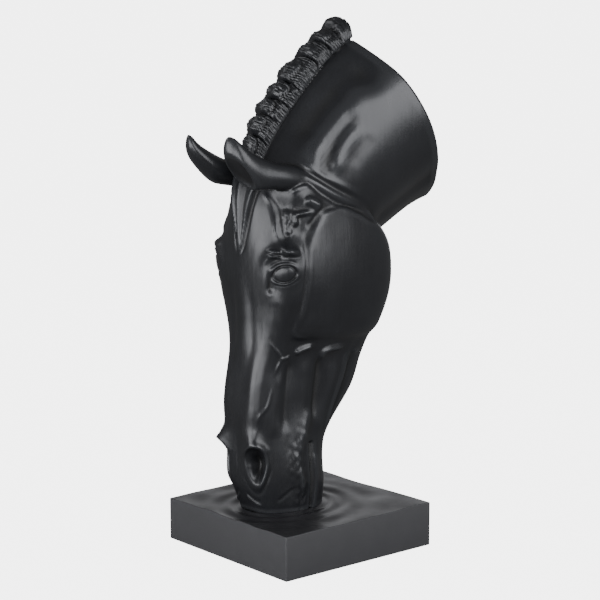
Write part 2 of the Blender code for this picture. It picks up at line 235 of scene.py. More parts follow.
# Carved features: (centre, outward direction, lengthwise direction, roughly the direction across)
EYE = ((15.8, -17.6, 66.2), (.84, -.54, .04), (.10, .97, .16), (0, 0, 1))
EYE_REACH = (12, 7)         # the carving fades out from the second distance to the first
NOSTRIL = ((8.0, -22.0, 14.0), (.70, -.71, .05), (-.06, -.14, 1.0), (0, 1, 0))
NOSTRIL_REACH = (13, 8)


def eye(p, fine):
    """Eye: a low dome in an almond opening ringed by a groove, lid folds, a tear groove and the brow.

    fine is how sharply the folds are cut.
    """
    a, b, c, out = own_axes(p, *EYE)
    near = step(*EYE_REACH, np.sqrt(a * a + b * b + c * c))
    socket = .8 * bell(np.hypot(a / 1.3, b), 3.8) * step(-4.5, 1.5, b)
    half = np.where(b > 0, 2.45, 2.05)
    # edge is 0 on the lids' edge and negative inside it
    edge = ((np.abs(a / 3.1) ** 1.9 + np.abs(b / half) ** 2.0) ** (1 / 1.95) - 1) * 2.4
    dome = np.sqrt(np.clip(1 - (a / 3.3) ** 2 - (b / 2.5) ** 2, 0, 1))
    ball = -.40 * step(.14, -.20, edge) + .14 * dome * step(.05, -.5, edge) - .50 * bell(edge + .02, .22)
    upper, gate = step(-.5, .7, b), step(4.2, 2.6, np.abs(a))
    rim = (.26 * upper * step(1.5, -1.0, a) + .05) * bell(edge - .55, .34)
    lids = gate * (-.25 * upper * bell(edge - 1.15, .3) - .12 * (1 - upper) * bell(edge - 1.0, .3))
    # two stacked folds before the eye's middle and one broad one behind it, under the brow
    level = b + .2 * (a + 3.1) + .05 * (a + 3.1) ** 2
    stacked = .8 * bell(level - 5.7, .45) - .4 * bell(level - 6.3, .26) + .8 * bell(level - 6.9, .45)
    folds = step(.4, -1.0, a) * step(-3.9, -2.5, a) * stacked
    level = b + .2 * (a - 3.0)
    folds += step(.2, 1.6, a) * step(5.4, 3.8, a) * (.8 * bell(level - 5.6, .95) - .2 * bell(level - 4.2, .3))
    tear = -.95 * bell(a + 4.0 - .17 * (b + .9), .75) * step(-4.8, -2.6, b) * step(2.4, .2, b)
    brow = (1.7 - .45 * fine) * bell(b - 6.6 + .09 * a * a, 2.4 - .9 * fine) * step(6.0, 2.5, np.abs(a + .3))
    return near * (socket + ball + rim + brow + fine * (lids + folds + tear)), out


def nostril(p, fine):
    """Nostril: an oval hollow whose front wall slopes in gently, with a rolled rear rim flared at the top."""
    a, b, c, out = own_axes(p, *NOSTRIL)
    near = step(*NOSTRIL_REACH, np.sqrt(a * a + b * b + c * c))
    b = b + .12 * np.clip(-a, 0, 6)
    wide = np.clip(2.6 + .12 * a, 1.8, 3.1)
    edge = ((np.abs(a / 4.9) ** 2.2 + np.abs(b / wide) ** 2.2) ** (1 / 2.2) - 1) * 2.6     # 0 on the rim
    deep = (.40 + .60 * step(-1.8, 1.2, b)) * (.70 + .30 * step(-4.5, 1.0, a))
    hole = -3.9 * step(.2, -1.9, edge) ** .8 * deep
    rim = bell(edge - .5, .60) * (.15 + .65 * step(-.5, 2, b) + .15 * step(2.5, 4.5, a))
    from_flare = np.hypot((a - 4.6) / np.where(a > 4.6, 2.2, .9), (b - .2) / 1.3)
    flare = (2.75 - fine) * bell(from_flare, 2.0) * step(-.1, .5, edge)
    under = -.2 * fine * bell(edge - 1.5, .4) * step(-1, -4, a)
    fuller = .8 * (1 - fine) * bell(np.hypot(a / 1.3, b), 4.5)
    return near * (hole + rim + flare + under + fuller), out


# Lines of the front, as (x, y, z): the forehead's crest, the fold under the nostril, the upper lip's edge
CREST = [(6.4, -17.9, 87.6), (7.8, -17.7, 86.1), (9.6, -17.6, 83.9),
         (10.5, -17.4, 81.8), (11.1, -17.4, 78.5), (12.0, -17.9, 75.4)]
LIP_FOLD = [(1.4, -19.9, 5.4), (2.4, -19.4, 4.2), (4.0, -18.5, 3.0), (5.6, -17.3, 2.2)]
LIP_EDGE = [(8.2, -14.8, 3.2), (8.9, -14.0, 4.2), (10.2, -11.7, 6.3), (10.9, -9.6, 7.5)]

# Rolled skin from the ear to the throat, as (y, z)
THROAT_FOLD = [(-10.6, 93.0), (-9.0, 91.8), (-4.7, 89.1), (1.2, 86.0), (9.3, 82.8), (16.4, 78.6)]

# Ridges of the side view: (points as (y, z), width, height, share of the length over which each end fades)
SIDE_RIDGES = [
    (THROAT_FOLD, .6, .85, .12),
    ([(y - .5, z - 1.3) for y, z in THROAT_FOLD[1:]], .45, -.6, .12),
    ([(y - .9, z - 2.5) for y, z in THROAT_FOLD[2:]], .5, .25, .2),
    # bony line from the cheek's lower corner up to the eye
    ([(-12.1, 50), (-12.2, 55), (-11.6, 64), (-10.8, 74)], .45, .28, .2),
    # muscles between cheek and lips, each with a rounded head just under the cheek
    ([(-6.8, 44), (-6.8, 37), (-7.4, 26), (-8.6, 17)], 2.6, .7, .2),
    ([(3.2, 43.0), (3.2, 36), (1.0, 28), (-1.0, 20)], 3.2, .75, .2),
    ([(-11.2, 43.8), (-8.8, 45.0), (-5.0, 45.9)], .75, .75, .22),
    ([(-1.4, 41.2), (-1.1, 43.5), (1.8, 44.2), (6.8, 44.3)], .75, .8, .18),
    ([(-2.6, 43), (-2.5, 40), (-2.8, 33), (-3.4, 25)], .65, -.6, .15),
    ([(9.2, 43.5), (7.9, 36.4), (4.0, 27), (2.6, 20)], .8, .75, .12),
    ([(10.8, 43.5), (9.5, 36.4), (5.6, 27), (4.0, 20)], .7, -.5, .12),
    ([(12.0, 41.6), (13.8, 42.7)], .6, .6, .3),
    ([(-11.5, 44), (-12.2, 36), (-12.6, 28), (-12.5, 22)], 1.4, -.5, .2),
    ([(-15.0, 40), (-15.8, 32), (-16.2, 26), (-15.6, 21)], 1.6, .3, .2),
    # mouth and lips
    ([(-4.0, 19.4), (-3.8, 13), (-3.6, 7), (-3.7, -2)], .5, -1.6, .04),
    ([(-2.0, 16), (-1.8, 10), (-1.6, 5), (-1.7, -2)], 1.1, .22, .1),
    ([(-4.2, 30), (-6.2, 24.5), (-7.9, 20.3), (-9.4, 13.6), (-8.2, 8.4), (-7.4, 4)], 1.5, .75, .15),
    # veins
    ([(-17.4, 48.6), (-16.6, 46.6), (-14.8, 43.4), (-15.3, 41.0), (-16.2, 38.0)], .34, .34, .35),
    ([(-16.4, 37.4), (-17.2, 33.1), (-18.3, 29.9), (-20.0, 27.8), (-20.6, 24.6)], .36, .24, .3),
    ([(-14.8, 43.4), (-13.8, 43.0), (-12.0, 43.5)], .36, .36, .2),
    # bony edges and knobs round the hollow of the temple
    ([(-14.2, 83.4), (-14.9, 81.2), (-15.4, 78.8), (-15.2, 76.2)], 1.1, .7, .2),
    ([(-12.4, 83.2), (-12.7, 81.0), (-12.4, 78.4)], .8, .8, .3),
    ([(-10.7, 83.0), (-10.5, 82.0), (-10.4, 81.0)], 1.7, 1.1, .5),
    ([(-9.8, 85.6), (-7.6, 84.7), (-5.2, 83.4)], 1.0, 1.0, .15),
    ([(-13.4, 87.4), (-10.6, 88.7), (-7.4, 88.7), (-4.3, 87.4)], .5, .5, .15),
    ([(-9.2, 77.6), (-8.1, 79.2), (-6.5, 80.9), (-6.6, 82.6)], 1.1, -.5, .3),
]


# Rocky skin of the temple: (height, centre as (y, z), proportions, reach, size of the bumps, seed)
TEMPLE_SKIN = [(.30, (-14.8, 79.4), (.8, 1.9), 2.2, 2.0, 29), (.12, (-10.0, 82.0), (1.1, 1.0), 3.0, 3.0, 19)]


def side_relief(q, p, fine):
    """Height of what is carved on the sides, over the side view q = (y, z).

    A raised cheek, higher at its foot, less a groove below it and the temple's hollow, plus every ridge
    of SIDE_RIDGES and rough skin at the lips, the cheek and the temple. fine is how rough it is cut.
    """
    y, z = q[..., 0], q[..., 1]
    within = inside(q, CHEEK)
    lower = step(57, 49, z)
    front = step(-7, -11, y)
    h = (.45 + .2 * lower) * step(-.3, 1.3 + 1.8 * lower, within)
    h -= .22 * (1 - lower) * bell(within + .6, .6)
    h -= (.7 * step(1.6, -1.2, within) * step(51, 47, z) * step(32, 42, z)
          * step(-14.5, -12, y) * step(24, 14, y))
    h += .24 * front * step(74, 66, z) * bell(within - .5, .8)
    for points, width, height, ends in SIDE_RIDGES:
        h += ridge(q, points, width, height, ends)
    # puckered corner of the mouth, and the hollow of the temple with its rocky skin
    lips = bell(distance_along(q, [(-6.4, 24.0), (-7.9, 20.3), (-9.4, 13.6), (-8.2, 8.4), (-7.4, 4)])[0], 2.5)
    h += .60 * fine * lips * step(27, 21, z) * rough(p * [1, 1, .45], 2.2, seed=5, octaves=2)
    h += (.13 * fine * step(.5, -1, within) * step(8, 14, z) * step(72, 60, z)
          * rough(p * [1, 1, .2], 3.0, seed=53, octaves=2))
    h -= 1.7 * step(-17.6, -16.0, y) * step(-6.6, -12.6, y) * step(72.0, 77.5, z) * step(89.0, 83.0, z)
    for share, (at_y, at_z), (wide, tall), reach, size, seed in TEMPLE_SKIN:
        spot = bell(np.hypot((y - at_y) / wide, (z - at_z) / tall), reach)
        h += share * fine * spot * rough(p, size, seed, octaves=2)
    return h * step(93, 88, z)


def front_relief(q, fine):
    """Height of what is carved on the front, over the front view q = (|x|, z).

    The nasal bone, the groove beside it, the ridge below the eye and the hollow in front of the eye.
    """
    x, z = q[..., 0], q[..., 1]
    h = .40 * bell(x, 3.2) * step(70, 58, z) * step(16, 26, z)
    h += ridge(q, [(3.8, 64), (3.6, 54), (4.0, 42)], 1.2, -.16, .3)
    h += ridge(q, [(12.4, 60), (9.6, 50), (6.8, 42), (5.8, 30)], 2.3, .6, .25) * fine
    return h + ridge(q, [(12.2, 77.5), (12.6, 71), (12.6, 65), (11.6, 58)], 1.5, -.85, .25) * fine


def forelock(p):
    """Forelock: a flat lock, wide between the ears and pointed on the forehead.

    A narrow keel down its middle, plus edges raised with the square of the share across it, plus strands.
    """
    x, z = p[..., 0], p[..., 2]
    rise = np.clip((z - 71.0) / 19.0, 0, 1.3)
    half = 4.2 * rise ** .85 + .35
    t = np.abs(x) / half
    body = step(.35, -.35, (t - 1) * half)
    middle = (.40 + 1.2 * rise) * bell(x, .35 + .5 * rise)
    keel = body * (middle + 1.5 * rise * t * t + .20 + .30 * bell((t - .92) * half, .3))
    strands = .05 * body * np.cos(2 * pi * t * 4) * step(.15, .5, rise)
    return (keel + strands - .40 * bell((t - 1) * half - .55, .5)) * step(70, 73.5, z)


def folded(points):
    """The same points, those of the far side mirrored to the near side."""
    return np.concatenate([np.abs(points[..., :1]), points[..., 1:]], -1)


def head_form(rows, columns):
    """Head: its smooth surface moved along its normals by the relief of the sides and of the front.

    Each relief counts by how far the surface faces its way. Eye and nostril are then pushed out or in,
    each in its own direction.
    """
    z = crowded(0, CROWN, rows, ROWS_NEAR)
    v = crowded(0, RING, columns + 1, COLUMNS_NEAR)[:-1]
    g = head_surface(z, v)
    n = grid_normals(g)
    one_side = folded(g)
    side = step(.12, .5, np.abs(n[..., 0]))
    front = step(.25, .6, -n[..., 1])
    fine = np.where(g[..., 0] < 0, FAR_SIDE, 1.0)
    h = side * side_relief(one_side[..., 1:], one_side, fine)
    h += front * (front_relief(one_side[..., [0, 2]], fine) + forelock(g))
    h += (ridge(one_side, CREST, .5, 1.0, .15) + ridge(one_side, LIP_FOLD, .32, .42, .2)
          + ridge(one_side, LIP_EDGE, .6, -.3, .25))
    h -= ridge(one_side, [(x, y, z + 1.2) for x, y, z in LIP_FOLD], .5, .25, .2)
    h += .06 * rough(g, 9, seed=3)
    moved = g + n * h[..., None]
    mirror = np.where(g[..., :1] < 0, -1.0, 1.0)
    out = moved.copy()
    for feature in (nostril, eye):
        depth, direction = feature(folded(moved), fine)
        push = direction * depth[..., None]
        out += np.concatenate([push[..., :1] * mirror, push[..., 1:]], -1)
    out[0, :, 2] = 0.0
    out[..., 2] = np.maximum(out[..., 2], 0.0)
    return out


# Neck: a section between the crest and the underside, carried back and cut off flat

NECK_AT = [0, .25, .5, .75, 1.0]
NECK_CREST = [(-17, 94.5), (-10.6, 105.0), (-3.4, 113.6), (5.6, 122.4), (14.6, 128.7)]     # (y, z)
NECK_UNDER = [(4, 62), (22.3, 71.0), (32.3, 76.2), (40.0, 80.4), (47.2, 83.0)]
NECK_HALF = 19.3
NECK_SECTION_AT = [0, .1, .2, .31, .458, .609, .767, .87, .95, 1.0]      # from crest to underside
NECK_SECTION = [.66, .82, .98, 1.02, 1.0, .95, .85, .75, .6, .45]
NECK_WIDTHS = [.70, .79, .87, .94, 1.0]                                  # from the head to the cut

# The flat cut: its upper and lower end and the direction square to it
CUT_TOP, CUT_FOOT = NECK_CREST[-1], NECK_UNDER[-1]
CUT_NORMAL = np.array([0, *unit([CUT_TOP[1] - CUT_FOOT[1], CUT_FOOT[0] - CUT_TOP[0]])])
CUT_EDGE = .6               # nearer to the cut than this, relief turns to moving straight sideways

NECK_RIDGES = [
    # hollow under the crest, the long muscle below it, the dark furrow and the short muscle behind that
    ([(18, 122.5), (7.0, 113.6), (-1.5, 105.6), (-8.5, 98.0)], 3.6, -1.0, .2),
    ([(14, 117.5), (8.4, 112.4), (2.6, 106.0), (-3.2, 99.8), (-6.4, 93)], 3.0, 1.1, .25),
    ([(8.6, 109.8), (4.6, 104.8), (.4, 100.2), (-2.0, 95.2), (-2.8, 89.6)], 1.5, -1.0, .25),
    ([(7.8, 105.4), (4.6, 101.3), (1.8, 96.6), (.4, 90.8)], 2.0, .65, .25),
    ([(12.0, 102.4), (8.0, 98.0), (5.4, 93.4)], 1.6, -.3, .25),
    ([(44, 92), (34, 86), (24, 80), (18, 77)], 2.6, -.6, .2),
    # folds of skin behind the jaw
    (THROAT_FOLD, .6, .85, .12),
    ([(y + .7, z + 1.4) for y, z in THROAT_FOLD[:-1]], .5, -.5, .12),
    ([(y + 1.2, z + 2.7) for y, z in THROAT_FOLD[:-1]], .5, .18, .2),
]


def neck_form(rows, columns):
    """Neck: half width = NECK_HALF x ellipse x section x width along it.

    Muscle bands and skin folds are pushed out of it along its normals.
    """
    s = crowded(0, 1, rows, [(.1, .2, 1.2)])
    half_turn = 5
    v = np.linspace(0, 2 * half_turn, columns + 1)[:-1]
    t = (1 - np.cos(pi * v / half_turn)) / 2
    crest, under = (spline(NECK_AT, line, s)[:, None, :] for line in (NECK_CREST, NECK_UNDER))
    section = np.sqrt(np.clip(4 * t * (1 - t), 0, 1)) * spline(NECK_SECTION_AT, NECK_SECTION, t)
    wide = spline(NECK_AT, NECK_WIDTHS, s)[:, None]
    x = NECK_HALF * section * np.where(v < half_turn, 1.0, -1.0) * wide
    yz = crest * (1 - t[:, None]) + under * t[:, None]
    g = np.concatenate([x[..., None], yz], -1)
    n = grid_normals(g)
    h = .08 * rough(g, 12, seed=7)
    for points, width, height, ends in NECK_RIDGES:
        h += step(.15, .5, np.abs(n[..., 0])) * ridge(g[..., 1:], points, width, height, ends)
    from_cut = np.abs((g - [0, *CUT_TOP]) @ CUT_NORMAL)
    sideways = np.array([1, 0, 0]) * np.sign(g[..., :1])
    n = n * step(0, CUT_EDGE, from_cut)[..., None] + sideways * step(CUT_EDGE, 0, from_cut)[..., None]
    return g + n * h[..., None]


# Ears: a bent cone, cut off obliquely and scooped out

EAR_AT = [0, .2, .4, .6, .8, 1.0]
EAR_BACK = [(-2, 92.8), (-12, 94.5), (-17.5, 95.4), (-22.5, 97.3), (-27.3, 100.0), (-30.2, 102.9)]   # (y, z)
EAR_FRONT = [(-2, 86.0), (-12, 87.5), (-18.5, 88.3), (-25.4, 88.8), (-30.4, 94.0), (-31.5, 101.6)]
EAR_HALF = [3.6, 3.2, 3.2, 3.8, 3.2, 1.3]
EAR_X = [8.6, 10.0, 10.0, 9.3, 9.3, 8.8]
EAR_TIP = (8.8, -31.0, 102.4)
EAR_OPENING_LOW = (9.2, -24.0, 88.6)
EAR_OPENING_FACES = (.12, -.78, -.61)
EAR_OPENING_BOW = .3
EAR_SCOOP = .46             # depth of the hollow, as a share of the cone's radius
EAR_TURN = radians(14)      # how far the outer part is turned outwards
FAR_EAR_SLIM = 2.2          # how much the far ear's front line is drawn in


def ear_form(rows, columns, slim=0.0):
    """Ear: rings between its back and front lines; what lies past the opening's bowed plane is pressed back.

    It is pressed back to that plane and hollowed below it. slim draws in the front line.
    """
    u = np.linspace(0, 1, rows)
    back, front = spline(EAR_AT, EAR_BACK, u), spline(EAR_AT, EAR_FRONT, u)
    front = front + slim * bell(u - .69, .20)[:, None] * [.6, 1.0]
    half, x = spline(EAR_AT, EAR_HALF, u)[:, None], spline(EAR_AT, EAR_X, u)[:, None]
    middle, arm = (back + front) / 2, (back - front) / 2
    phi = np.linspace(0, -2 * pi, columns + 1)[:-1][None, :]
    turn = EAR_TURN * step(.35, .6, u)[:, None]
    close = np.sqrt(np.clip(1 - (np.clip(u - .90, 0, 1) / .1) ** 2, 0, 1))[:, None]
    w, d = half * np.sin(phi) * close, np.cos(phi) * close
    g = np.stack([x + w * np.cos(turn),
                  middle[:, :1] + arm[:, :1] * d + w * np.sin(turn),
                  middle[:, 1:] + arm[:, 1:] * d], -1)
    faces, low = unit(EAR_OPENING_FACES), np.array(EAR_OPENING_LOW)
    chord = EAR_TIP - low
    t = np.clip((g - low) @ chord / (chord @ chord), 0, 1)
    beyond = (g - low) @ faces - EAR_OPENING_BOW * np.sin(pi * t)
    beyond = (beyond + np.sqrt(beyond**2 + .3**2)) / 2 - .02
    scoop = EAR_SCOOP * np.linalg.norm(arm, axis=1)[:, None] * close
    return g - faces * (beyond + scoop * (1 - np.exp(-np.maximum(beyond, 0) / 1.6)))[..., None]


# Mane: eight plaits along the crest, each rolled up into a knot, the last cut through with the neck

PLAIT_ENDS = [-.01, .115, .256, .372, .500, .700, .828, .930, 1.10]      # shares of the crest's length
STRANDS = 58                # combed strands along the whole mane
CROSSINGS = 18              # crossings of the braid along the whole mane


def mane_form(rows, columns):
    """Mane: an arch along the crest; each plait is a swelling of combed strands with a coiled knot on top."""
    s = np.linspace(.015, 1.0, rows)
    crest, under = spline(NECK_AT, NECK_CREST, s), spline(NECK_AT, NECK_UNDER, s)
    down = (under - crest) / np.linalg.norm(under - crest, axis=1, keepdims=True)
    th = crowded(-pi, pi, columns + 1, [(0, 1.6, 2.0)])[:-1][None, :]
    length = np.concatenate([[0], np.cumsum(np.linalg.norm(np.diff(crest, axis=0), axis=1))])
    ends = np.array(PLAIT_ENDS)
    along = (length / length[-1])[:, None] + .012 * np.sin(np.clip(np.abs(th), 0, pi / 2)) ** 2
    number = np.clip(np.searchsorted(ends, along, side="right") - 1, 0, len(ends) - 2)
    long = ends[number + 1] - ends[number]
    p = np.clip((along - ends[number]) / long, 0, 1)
    own = np.sin(number * 2.4 + .7)         # sets each plait a little apart from the others
    swell = np.sqrt(np.clip(np.sin(pi * p ** .8), 0, 1))
    grown = step(-.02, .10, s)[:, None] ** .5
    high = (3.1 + (1.0 + 3 * (long - .11)) * swell + .7 * step(.6, 1, s)[:, None]
            + .5 * bell(s - .955, .03)[:, None] - 1.2 * step(.95, 1, s)[:, None]) * grown
    wide = (5.0 + .35 * swell + .1 * own) * (.72 + .28 * step(0, .4, s)[:, None])
    arch = np.cos(th)
    wave = .30 * np.sin(2.3 * th + 1.9 * number) + .12 * np.sin(5.1 * th + number)
    count = along * STRANDS + wave
    strands = .15 * np.cos(2 * pi * count) + .10 * np.cos(2 * pi * (2.1 * count + .3 * number))
    turns = along * CROSSINGS
    braid = (.16 * np.cos(2 * pi * (turns + th * .9)) * np.cos(2 * pi * (turns - th * .9 + .25 * own))
             * step(.8, .5, s)[:, None])
    groove = -.75 * bell(np.minimum(p, 1 - p) * long, .008) - .2 * bell(p - .68, .03)
    middle = .44 + .04 * own
    d = np.hypot((p - middle) / .46, (th - .12 * own + .05) / .80)
    flatter = (1 - .6 * step(.55, .7, s))[:, None]
    knot = (.85 * np.sqrt(np.clip(1 - d**2, 0, 1)) - .30 * bell(d - 1.10, .12)) * flatter
    coil = .12 * np.cos(np.arctan2(th, (p - middle) * 2.4) + d * 13) * step(1.0, .75, d)
    place = np.stack([wide * np.sin(th), crest[:, :1] + 0 * th, crest[:, 1:] + 5 * arch], -1)
    tangle = .28 * rough(place, 2.4, seed=41)
    lift = strands * (1 - .6 * step(1.1, .8, d)) + tangle + braid + groove + knot + coil
    lift = lift * step(-.1, .2, arch) * (.55 + .45 * grown)
    up = np.where(arch > 0, np.abs(arch) ** .8 * high, arch * 1.5) + lift * np.clip(arch, 0, 1) ** .6
    yz = crest[:, None, :] - down[:, None, :] * up[..., None]
    onward = unit([NECK_CREST[-1][i] - NECK_CREST[-2][i] for i in (0, 1)])
    yz = yz + onward * (.64 * np.clip(up, 0, 9) * step(.86, 1, s)[:, None])[..., None]
    return np.concatenate([((wide + lift) * np.sin(th))[..., None], yz], -1)


# Plinth: a square block whose top is a sheet of water, ringed by ripples round the muzzle

MUZZLE = (0, -6.2)              # centre of the muzzle at the water, and half its size, in hundredths
MUZZLE_HALF = (9.9, 11.9)
RIPPLE_HEIGHT = .0014           # metres
RIPPLE_GROWTH = (.045, 2.9)     # rings lie (distance + first) / second apart
RIPPLE_REACH = .075             # metres in which they sink to about a third


def ripple(x, y):
    """Height of the water in metres: rings that follow the muzzle's oval, plus slower waves across them.

    The rings are a cosine that sinks and lengthens with the distance from the muzzle.
    """
    dx, dy = x / UNIT - MUZZLE[0], y / UNIT - MUZZLE[1]
    share = np.hypot(dx / MUZZLE_HALF[0], dy / MUZZLE_HALF[1])
    away = (share - 1) * np.hypot(dx, dy) / np.maximum(share, 1e-6) * UNIT
    angle = np.arctan2(dy, dx)
    phase = (2 * pi * RIPPLE_GROWTH[1] * np.log1p(np.maximum(away, -.02) / RIPPLE_GROWTH[0])
             + .5 * np.sin(2 * angle + .8) + .3 * np.sin(3 * angle))
    rings = np.cos(phase) * np.exp(-np.maximum(away, 0) / RIPPLE_REACH)
    swell = .35 * np.sin(2 * pi * (x * 6 + y * 5) + 1.0) + .25 * np.sin(2 * pi * (x * 9 - y * 11) + 2.2)
    return RIPPLE_HEIGHT * (rings + swell - .35 + 1.1 * step(.01, .12, y))


CORNER_ROUND = .002             # radii of the plinth's corners and edges, in metres
EDGE_ROUND = .0012
ROUND_STEPS = 4
BORDER = (.0015, 5)             # how wide, in metres, and how much the water's grid is crowded at its border


def rounded_square(x, y, half, radius):
    """Moves the points of a square so that its corners are rounded: each corner patch becomes a quarter disc.

    After the new x and y come each point's direction away from its corner's centre, as x and y.
    """
    a, b = (np.clip((np.abs(w) - half + radius) / radius, 0, 1) for w in (x, y))
    a, b = a * np.sqrt(1 - b * b / 2), b * np.sqrt(1 - a * a / 2)
    inner = half - radius
    moved = [np.sign(w) * (np.minimum(np.abs(w), inner) + radius * c) for w, c in ((x, a), (y, b))]
    return *moved, np.sign(x) * a, np.sign(y) * b


def plinth_mesh(count):
    """Plinth: a grid of water, its border carried down over a rounded edge to flat sides and underside."""
    half, radius = PLINTH_SIDE / 2 - EDGE_ROUND, CORNER_ROUND - EDGE_ROUND
    line = crowded(-half, half, count, [(-half, *BORDER), (half, *BORDER)])
    x, y, out_x, out_y = rounded_square(*np.meshgrid(line, line, indexing="ij"), half, radius)
    top = np.stack([x, y, WATER_LEVEL + ripple(x, y)], -1)
    index = np.arange(count * count).reshape(count, count)
    border = np.concatenate([index[:-1, 0], index[-1, :-1], index[:0:-1, -1], index[0, :0:-1]])
    rim = top.reshape(-1, 3)[border]
    out = np.stack([out_x.ravel()[border], out_y.ravel()[border], np.zeros(len(border))], -1)
    turns = np.linspace(0, pi / 2, ROUND_STEPS + 1)[1:]
    upper = [rim + EDGE_ROUND * (out * sin(a) + [0, 0, cos(a) - 1]) for a in turns]
    side = upper[-1] * [1, 1, 0]
    lower = [side + [0, 0, EDGE_ROUND] + EDGE_ROUND * (out * (cos(a) - 1) - [0, 0, sin(a)])
             for a in [0, *turns]]
    rings = upper + lower
    points = np.concatenate([top.reshape(-1, 3), *rings, [[0, 0, 0]]])
    square = np.stack([index[:-1, :-1], index[1:, :-1], index[1:, 1:], index[:-1, 1:]], -1).reshape(-1, 4)
    around, below = len(border), count * count
    loops = np.stack([border] + [below + k * around + np.arange(around) for k in range(len(rings))])
    after = np.roll(loops, -1, 1)
    sides = np.stack([loops[:-1], loops[1:], after[1:], after[:-1]], -1).reshape(-1, 4)
    under = np.stack([np.full(around, len(points) - 1), after[-1], loops[-1]], -1)
    return points, square.tolist() + sides.tolist() + under.tolist(), len(square)


def closed_rings(g):
    """Vertices and faces of a grid of rings, closed by a fan of triangles at each end."""
    rows, columns = g.shape[:2]
    r, c = np.arange(rows - 1)[:, None] * columns, np.arange(columns)[None, :]
    d = (c + 1) % columns
    sides = np.stack([r + c, r + d, r + columns + d, r + columns + c], -1).reshape(-1, 4)
    first, last, top = rows * columns, rows * columns + 1, (rows - 1) * columns
    c, d = c[0], d[0]
    fans = [np.stack([np.full(columns, first), d, c], -1),
            np.stack([np.full(columns, last), top + c, top + d], -1)]
    points = np.concatenate([g.reshape(-1, 3), [g[0].mean(0)], [g[-1].mean(0)]])
    return points, sides.tolist() + np.concatenate(fans).tolist()


def new_object(name, points, faces):
    mesh = bpy.data.meshes.new(name)
    mesh.from_pydata(points, [], faces)
    mesh.update()
    shape = bpy.data.objects.new(name, mesh)
    bpy.context.scene.collection.objects.link(shape)
    return shape


def in_place(g):
    """From hundredths of the head, counted from the water, to metres in the frame."""
    return g * UNIT + np.array([0, 0, HEAD_LOW.z])


def cast_in_one(name, grids):
    """One closed skin of several overlapping closed forms; each face keeps the number of its form."""
    shapes = []
    for number, grid in enumerate(grids):
        shape = new_object(f"{name}_{number}", *closed_rings(in_place(grid)))
        form = shape.data.attributes.new("form", "INT", "FACE")
        form.data.foreach_set("value", np.full(len(shape.data.polygons), number, np.int32))
        shapes.append(shape)
    for other in shapes[1:]:
        union = shapes[0].modifiers.new("union", "BOOLEAN")
        union.operation, union.solver, union.object = "UNION", "MANIFOLD", other
    evaluated = shapes[0].evaluated_get(bpy.context.evaluated_depsgraph_get())
    mesh = bpy.data.meshes.new_from_object(evaluated)
    for shape in shapes:
        bpy.data.objects.remove(shape)
    mesh.name = name
    mesh.materials.clear()
    cast = bpy.data.objects.new(name, mesh)
    bpy.context.scene.collection.objects.link(cast)
    return cast


def coordinates(mesh):
    co = np.empty(len(mesh.vertices) * 3)
    mesh.vertices.foreach_get("co", co)
    return co.reshape(-1, 3)


def edge_ends(mesh):
    ends = np.empty(len(mesh.edges) * 2, np.int32)
    mesh.edges.foreach_get("vertices", ends)
    return ends.reshape(-1, 2)


def neighbour_mean(values, ends, count):
    """Mean of each vertex's neighbours, for one value or several per vertex."""
    both = np.concatenate([ends, ends[:, ::-1]])
    number = np.bincount(both[:, 0], minlength=count)
    total = [np.bincount(both[:, 0], weights=column[both[:, 1]], minlength=count)
             for column in np.atleast_2d(values.T)]
    return (np.array(total) / np.maximum(number, 1)).T.reshape(values.shape)


def behind_cut(co):
    """Distance of each vertex behind the plane of the neck's cut, in metres."""
    return (co - in_place(np.array([0, *CUT_TOP]))) @ CUT_NORMAL


SEAM_PASS = .86             # how much of its weight a seam hands on to the vertices beside it
SEAM_END = .12              # a vertex stays out where its neighbours weigh no more than this on average
SEAM_PULL = .6              # how far a round moves a vertex of full weight to its neighbours' mean
SEAM_ROUNDS = [0, 7, 6, 6, 1]       # for the head, the neck, the near ear, the far ear and the mane
FLAT = 1e-5                 # metres off the cut within which a vertex counts as on it


def soften_seams(cast, rounds):
    """Where two forms meet, vertices move towards the mean of their neighbours; the neck's cut stays flat.

    They move most on the seam and less away from it, as often as rounds says for each form in turn.
    """
    mesh = cast.data
    form = np.empty(len(mesh.polygons), np.int32)
    mesh.attributes["form"].data.foreach_get("value", form)
    corner_vertex = np.empty(len(mesh.loops), np.int32)
    mesh.loops.foreach_get("vertex_index", corner_vertex)
    sizes = np.empty(len(mesh.polygons), np.int32)
    mesh.polygons.foreach_get("loop_total", sizes)
    corner_form = np.repeat(form, sizes)
    count = len(mesh.vertices)
    high, low = np.full(count, -1), np.full(count, 99)      # below and above every form's number
    np.maximum.at(high, corner_vertex, corner_form)
    np.minimum.at(low, corner_vertex, corner_form)
    ends, co = edge_ends(mesh), coordinates(mesh)
    on_cut = np.abs(behind_cut(co)) < FLAT
    for number, times in enumerate(rounds):
        weight = ((high != low) & (high == number)).astype(float)
        for _ in range(times):
            beside = neighbour_mean(weight, ends, count)
            weight = np.maximum(weight, SEAM_PASS * beside ** .5 * (weight == 0) * (beside > SEAM_END))
        for _ in range(times):
            co += (neighbour_mean(co, ends, count) - co) * weight[:, None] * SEAM_PULL
    co[on_cut] -= np.outer(behind_cut(co[on_cut]), CUT_NORMAL)
    mesh.vertices.foreach_set("co", co.ravel())
    mesh.update()


def shade_round_the_cut(cast):
    """Smooth shading everywhere but on the neck's flat cut."""
    mesh = cast.data
    mesh.shade_smooth()
    normals = np.empty(len(mesh.polygons) * 3)
    mesh.polygons.foreach_get("normal", normals)
    mesh.polygons.foreach_set("use_smooth", normals.reshape(-1, 3) @ CUT_NORMAL < .999)


FULL_HOLLOW = .0006         # metres below its neighbours at which a vertex counts as fully hollow


